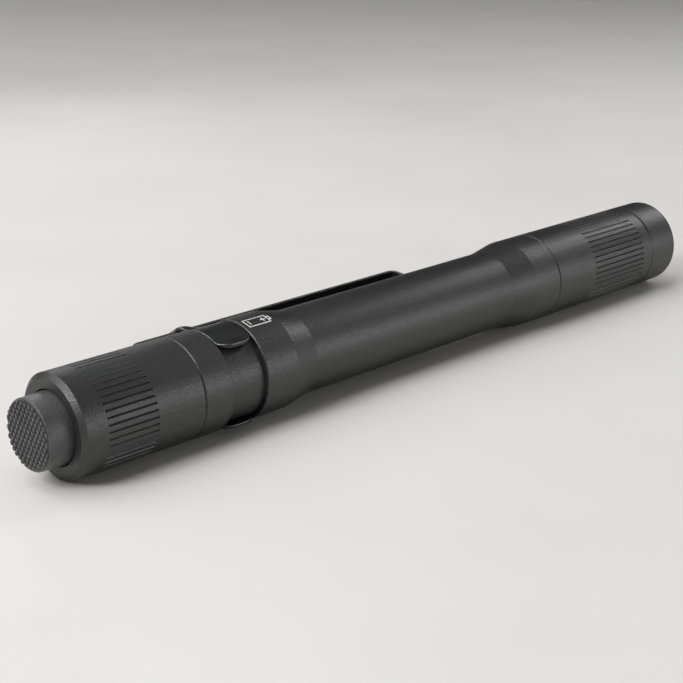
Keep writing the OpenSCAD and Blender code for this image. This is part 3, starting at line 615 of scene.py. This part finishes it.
def bend(v):
    """Moves a point of the flat blank to its place on the bent clip."""
    s, u = v.co.x, abs(v.co.z)
    behind = BAND_FROM - s
    if behind > 0:
        # The strip narrows from the root's width to the arm's
        u *= 1 + (ARM_HALF_W / ROOT_HALF_W - 1) * ease(behind, ROOT_L, 0)
    turn = min(u / BAND_R, HALF_ARC)
    # The middle of the band climbs out of its seat towards its rear edge, to pass over the collar
    r = BAND_R + (LEAF_Y - BAND_R) * ease(u, *CLIMB_ROUND) * ease(s, *CLIMB_ALONG)
    y, z = r * math.cos(turn), r * math.sin(turn)
    rest = u - BAND_R * HALF_ARC
    if rest > 0:
        bent = min(rest / FLARE_R, FLARE_TURN)
        run = max(0, rest - FLARE_R * FLARE_TURN)
        out = Vector((math.cos(HALF_ARC), math.sin(HALF_ARC)))
        ahead = Vector((-out.y, out.x))
        y, z = (out * (BAND_R + FLARE_R * (1 - math.cos(bent)) + run * math.sin(bent))
                + ahead * (FLARE_R * math.sin(bent) + run * math.cos(bent)))
    if behind > 0:
        # Behind the band the sheet flattens on its way to the fold
        at, heading = on_path(behind)
        flat = ease(behind, *FLAT_BEHIND)
        sag = (y - LEAF_Y) * (1 - flat)
        s, y = at.x + sag * math.sin(heading), at.y - sag * math.cos(heading)
        z += (u - z) * flat
    v.co = (s, y, math.copysign(z, v.co.z))


def clip_sheet():
    """The blank bent, then given its thickness and its tumbled edges."""
    bm = clip_blank()
    for v in bm.verts:
        bend(v)
    bmesh.ops.recalc_face_normals(bm, faces=bm.faces[:])
    bm.normal_update()
    for v in bm.verts:
        v.co += v.normal * SHEET_T / 2
    bmesh.ops.solidify(bm, geom=bm.faces[:], thickness=SHEET_T)
    bm.normal_update()
    rim = [e for e in bm.edges if len(e.link_faces) == 2 and e.calc_face_angle() > RIM_ANGLE]
    rubbed_and_glinting = bmesh.ops.bevel(bm, geom=rim, offset=RIM_WEAR, segments=3, profile=0.5,
                           affect="EDGES", material=-1)
    # The rounded edges take the second finish: rubbed steel with a painted highlight
    for f in rubbed_and_glinting["faces"]:
        f.material_index = 1
    return bm


# The second finish, on the edges, is rubbed steel with a painted highlight
clip = piece("clip", clip_sheet(), [SLOTS["clip_steel"], rubbed_edge_and_painted_glint()], sharp=50)
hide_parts("clip_ring", "clip_arm")
# The line between start and end leans forward so that the foot counts as part of the arm
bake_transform(clip)


# The mark that shows which way the cells go in: a cell's outline with its two signs

MARK_R = 7.306  # just over the sleeve
MARK_ANGLE = math.radians(103.5)  # round from the back, over the top
MARK_FROM, MARK_L, MARK_HALF_W = 31.35, 3.85, 0.88
MARK_NUB, NUB_SHARE = 0.45, 0.45  # the nub's length, and its share of the outline's width
MARK_LINE = 0.2
SIGN_HALF, MINUS_IN, PLUS_IN = 0.4, 0.6, 0.8  # the signs' half size, and places from the ends


def cell_mark():
    """Flat strips of ink laid on the sleeve, in station and distance round it."""
    bm = bmesh.new()
    end = MARK_FROM + MARK_L
    tip = end + MARK_NUB
    half, pen = MARK_HALF_W, MARK_LINE / 2
    nub = NUB_SHARE * half
    minus, plus = MARK_FROM + MINUS_IN, end - PLUS_IN
    strips = [
        ((MARK_FROM, -half), (end, -half)), ((MARK_FROM, half), (end, half)),
        ((MARK_FROM, -half), (MARK_FROM, half)), ((end, -half), (end, half)),
        ((end, -nub), (tip, -nub)), ((end, nub), (tip, nub)), ((tip, -nub), (tip, nub)),
        ((minus, -SIGN_HALF), (minus, SIGN_HALF)), ((plus, -SIGN_HALF), (plus, SIGN_HALF)),
        ((plus - SIGN_HALF, 0), (plus + SIGN_HALF, 0))]
    for (s0, u0), (s1, u1) in strips:
        middle = Matrix.Translation(((s0 + s1) / 2, (u0 + u1) / 2, 0))
        size = Matrix.Diagonal(((s1 - s0) / 2 + pen, (u1 - u0) / 2 + pen, 1, 1))
        bmesh.ops.create_grid(bm, x_segments=2, y_segments=8, size=1, matrix=middle @ size)
    for v in bm.verts:
        a = MARK_ANGLE + v.co.y / MARK_R
        v.co = (v.co.x, MARK_R * math.cos(a), MARK_R * math.sin(a))
    bmesh.ops.recalc_face_normals(bm, faces=bm.faces[:])
    return bm


mark = piece("cell_mark", cell_mark(), [pad_print()])
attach(mark, "tube")


# Studio: a wide pale floor, soft boxes and the camera

FLOOR_Z, FLOOR_HALF = -7.32, 4000  # just under the body
SOFT_BOXES = [  # name, place, what it faces, width, height and watts
    ("head_box", (400, 0, 210), (120, 0, 0), 100, 100, 0.21),  # upper near side, from ahead
    ("back_box", (128, 243, 123), (0, 0, 0), 80, 80, 0.065),  # top edge of the tail cap
    ("tail_box", (120, 37, 177), (20, 0, 0), 240, 120, 0.03),  # weak light over the top
    ("front_box", (350, -470, 90), (55, 0, 0), 500, 190, 0.95),  # long light on the near side
    ("floor_box", (-300, 250, 600), (30, 0, 0), 1000, 1000, 6.2),  # the floor, and all from above
    ("face_box", (-300, 0, 260), (0, 0, 0), 150, 150, 0.95),  # the button and the tail's chamfer
    ("fill_box", (451, -300, 336), (55, 0, 0), 400, 200, 0.15),  # between the top and near side
    ("end_box", (700, 40, 150), (27, 0, 0), 200, 150, 0.16)]  # the taper in front of the sleeve
AIR_STRENGTH = 0.04

LENS, SENSOR_W = 75.75, 36
CAMERA_AT = place(-91.7, -147.2, 71.0)
CAMERA_LOOK = Vector((0.6584, 0.6763, -0.3302))
SEEN_FROM, SEEN_TO = 0.01, 50  # metres


def soft_box(name, where, target, width, height, power):
    """A soft box at a place, facing another, in station and offsets."""
    data = bpy.data.lights.new(name, "AREA")
    data.shape, data.size, data.size_y = "RECTANGLE", width * MM, height * MM
    data.energy = power
    obj = bpy.data.objects.new(name, data)
    obj.location = place(*where)
    obj.rotation_euler = (place(*where) - place(*target)).to_track_quat("Z", "Y").to_euler()
    obj.visible_camera = False
    bpy.context.scene.collection.objects.link(obj)


bm = bmesh.new()
bmesh.ops.create_grid(bm, x_segments=1, y_segments=1, size=FLOOR_HALF,
                      matrix=Matrix.Translation((0, 0, FLOOR_Z)))
floor = piece("floor", bm, [pale_paper()])

for box in SOFT_BOXES:
    soft_box(*box)

world = bpy.data.worlds.new("studio_air")
world.use_nodes = True
air = world.node_tree.nodes["Background"]
air.inputs["Color"].default_value = linear("#ffffff")
air.inputs["Strength"].default_value = AIR_STRENGTH
bpy.context.scene.world = world
bpy.context.scene.view_settings.view_transform = "Standard"

camera_data = bpy.data.cameras.new("camera")
camera_data.sensor_width, camera_data.lens = SENSOR_W, LENS
camera_data.clip_start, camera_data.clip_end = SEEN_FROM, SEEN_TO
camera = bpy.data.objects.new("camera", camera_data)
camera.location = CAMERA_AT
camera.rotation_euler = CAMERA_LOOK.to_track_quat("-Z", "Y").to_euler()
bpy.context.scene.collection.objects.link(camera)
bpy.context.scene.camera = camera
